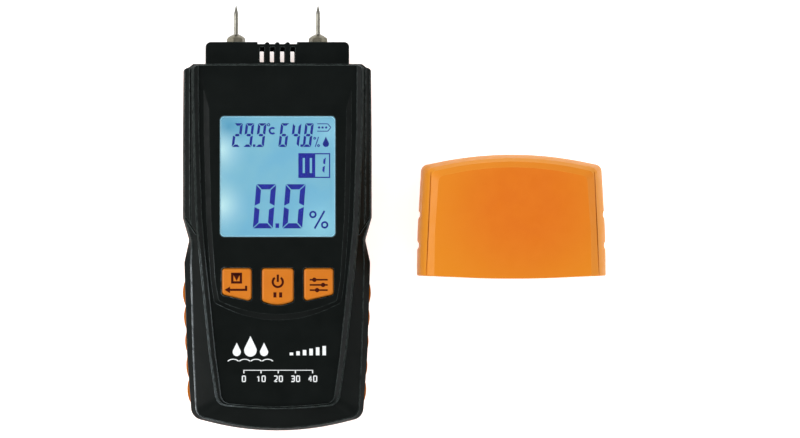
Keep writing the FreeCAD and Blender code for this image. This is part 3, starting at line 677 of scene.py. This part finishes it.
def key_legends(materials):
    """Generic icons on the keys: mode and confirm, power and hold, settings."""
    ink = materials["brown_ink"]

    enter = key_print("enter_key")
    enter.frame(-2.1, -6.4, 1.9, -2.4, 0.85)
    enter.prism([(-1.4, -3.0), (-0.1, -5.4), (1.2, -3.0)])
    enter.prism([(-4.5, -8.7), (-2.5, -7.5), (-2.5, -9.9)])
    enter.bar(-2.5, -9.1, 3.8, -8.3)
    enter.bar(3.0, -8.3, 3.8, -7.2)
    enter.finish("enter_key", "key_orange", ink)

    power = key_print("power_key")
    power.band((0.0, -5.8), 1.85, 0.8, 125, 415)
    power.bar(-0.4, -5.8, 0.4, -3.1)
    for x in (-1.6, 0.5):
        power.bar(x, -11.5, x + 1.1, -9.6)
    power.finish("power_key", "key_orange", ink)

    settings = key_print("set_key")
    for y, knob in ((-5.0, -1.6), (-6.9, 1.6), (-8.8, -0.6)):
        settings.bar(-3.3, y - 0.3, knob - 0.7, y + 0.3)
        settings.bar(knob + 0.7, y - 0.3, 3.3, y + 0.3)
        settings.disc((knob, y), 0.8)
    settings.finish("set_key", "key_orange", ink)


# ---- white printing on the casing ----------------------------------------------------
def casing_print(materials):
    """Generic marks below the keys, drawn from the power key's head: drops, rising bars, a number scale."""
    origin, _ = key_head("power_key")
    level = height_of("front_shell", origin[0], origin[1] - 36.3) + PRINT_GAP
    ink = materials["white_ink"]

    drops = Print("drop_mark", origin, level)
    for x, y, radius in ((-10.0, -30.9, 2.3), (-15.0, -31.5, 1.5), (-5.0, -31.5, 1.5)):
        drops.drop((x, y), radius)
    for step in range(4):
        drops.band((-16.3 + 4.2 * step, -35.4), 2.1, 0.5, 25, 155, squash=0.6)
    drops.finish("housing", "casing_black", ink)

    ticks = Print("level_mark", origin, level)
    for step in range(6):
        x = 4.4 + 2.4 * step
        ticks.bar(x, -32.7, x + 1.3, -31.7 + 0.48 * step)
    ticks.finish("housing", "casing_black", ink)

    scale = Print("number_scale", origin, level)
    for index, number in enumerate(("0", "10", "20", "30", "40")):
        x = -12.4 + 6.3 * index
        draw_number(scale, number, (x, -41.3))
        scale.bar(x - 0.2, -39.3, x + 0.2, -38.2)
    scale.bar(-12.6, -38.3, 13.0, -38.05)
    scale.finish("housing", "casing_black", ink)


# Each digit of the scale as one or two lines through points about its middle.
DIGIT_LINES = {
    "0": [((-0.55, -1), (0.55, -1), (0.55, 1), (-0.55, 1), (-0.55, -1))],
    "1": [((0.1, -1), (0.1, 1), (-0.4, 0.5))],
    "2": [((-0.55, 1), (0.55, 1), (0.55, 0), (-0.55, -1), (0.55, -1))],
    "3": [((-0.55, 1), (0.55, 1), (0.55, -1), (-0.55, -1)), ((-0.3, 0), (0.55, 0))],
    "4": [((0.3, -1), (0.3, 1), (-0.55, -0.3), (0.7, -0.3))],
}


def draw_number(target, number, centre):
    """Small drawn figures, centred."""
    pitch = 1.9
    first = centre[0] - pitch * (len(number) - 1) / 2
    for index, digit in enumerate(number):
        x = first + pitch * index
        for line in DIGIT_LINES[digit]:
            for (x1, y1), (x2, y2) in zip(line, line[1:]):
                target.stroke((x + x1, centre[1] + y1), (x + x2, centre[1] + y2), 0.4)


def height_of(node, x_mm, y_mm):
    """Height of a node's upper surface above a point of the floor, read from its own mesh."""
    mesh = nodes[node].data
    tree = BVHTree.FromPolygons([v.co for v in mesh.vertices], [p.vertices for p in mesh.polygons])
    hit, _, _, _ = tree.ray_cast(Vector((x_mm * MM, y_mm * MM, 1.0)), Vector((0, 0, -1)))
    return hit.z


# ---- stage ---------------------------------------------------------------------------
def make_floor():
    """Plain pale ground that glows a little, so that it stays even under the soft lights."""
    mesh = bmesh.new()
    bmesh.ops.create_grid(mesh, x_segments=2, y_segments=2, size=3.0)
    data = bpy.data.meshes.new("floor")
    mesh.to_mesh(data)
    mesh.free()
    floor = bpy.data.objects.new("floor", data)
    bpy.context.scene.collection.objects.link(floor)
    floor.location = (0, 0, cad_box[0].z - 0.05 * MM)
    surface = Surface("pale_floor", "f6f6f6", 0.7)
    surface.tint(160.0, "f9f9f8")
    surface.shader.inputs["Emission Color"].default_value = (1, 1, 1, 1)
    surface.shader.inputs["Emission Strength"].default_value = 0.65
    surface.bump(1.5, 0.02, 0.1)
    data.materials.append(surface.material)


def area_light(name, position, target, size, power):
    data = bpy.data.lights.new(name, "AREA")
    data.shape = "RECTANGLE"
    data.size, data.size_y = size
    data.energy = power
    light = bpy.data.objects.new(name, data)
    bpy.context.scene.collection.objects.link(light)
    light.location = position
    light.rotation_euler = (Vector(target) - Vector(position)).to_track_quat("-Z", "Y").to_euler()


def make_lights():
    """Four large soft lights round the object and a pale surrounding."""
    centre = (cad_box[0] + cad_box[1]) / 2
    target = (centre.x, centre.y, 0.0)
    area_light("soft_top", (centre.x, 0.8, 1.2), target, (1.6, 0.6), 6)
    area_light("soft_left", (-1.1, 0.15, 0.8), target, (0.5, 1.3), 16)
    area_light("soft_right", (1.25, 0.1, 0.9), target, (0.5, 1.3), 7)
    area_light("soft_low", (centre.x, -0.95, 0.95), target, (1.6, 0.4), 6)
    world = bpy.data.worlds.new("studio")
    world.use_nodes = True
    world.node_tree.nodes["Background"].inputs["Color"].default_value = (1, 1, 1, 1)
    world.node_tree.nodes["Background"].inputs["Strength"].default_value = 0.28
    bpy.context.scene.world = world


def make_camera():
    """Looks down on the display from far off, a touch left of the casing, and takes in both pieces."""
    distance = 5.0
    plane_z = 0.017
    view_width = 0.2940
    framed = Vector((0.0452, 0.00655))
    stand = Vector((-0.08, 0.00655))
    data = bpy.data.cameras.new("camera")
    data.sensor_width = 36.0
    data.lens = data.sensor_width * distance / view_width
    data.clip_start = 0.1
    camera = bpy.data.objects.new("camera", data)
    bpy.context.scene.collection.objects.link(camera)
    camera.location = (stand.x, stand.y, plane_z + distance)
    camera.rotation_euler = (0.0, math.atan2(stand.x - framed.x, distance), 0.0)
    bpy.context.scene.camera = camera


def main():
    make_camera()
    materials = make_materials()
    dress_nodes(materials)
    display_prints(materials)
    key_legends(materials)
    casing_print(materials)
    make_floor()
    make_lights()
    bpy.context.scene.view_settings.view_transform = "Standard"


main()
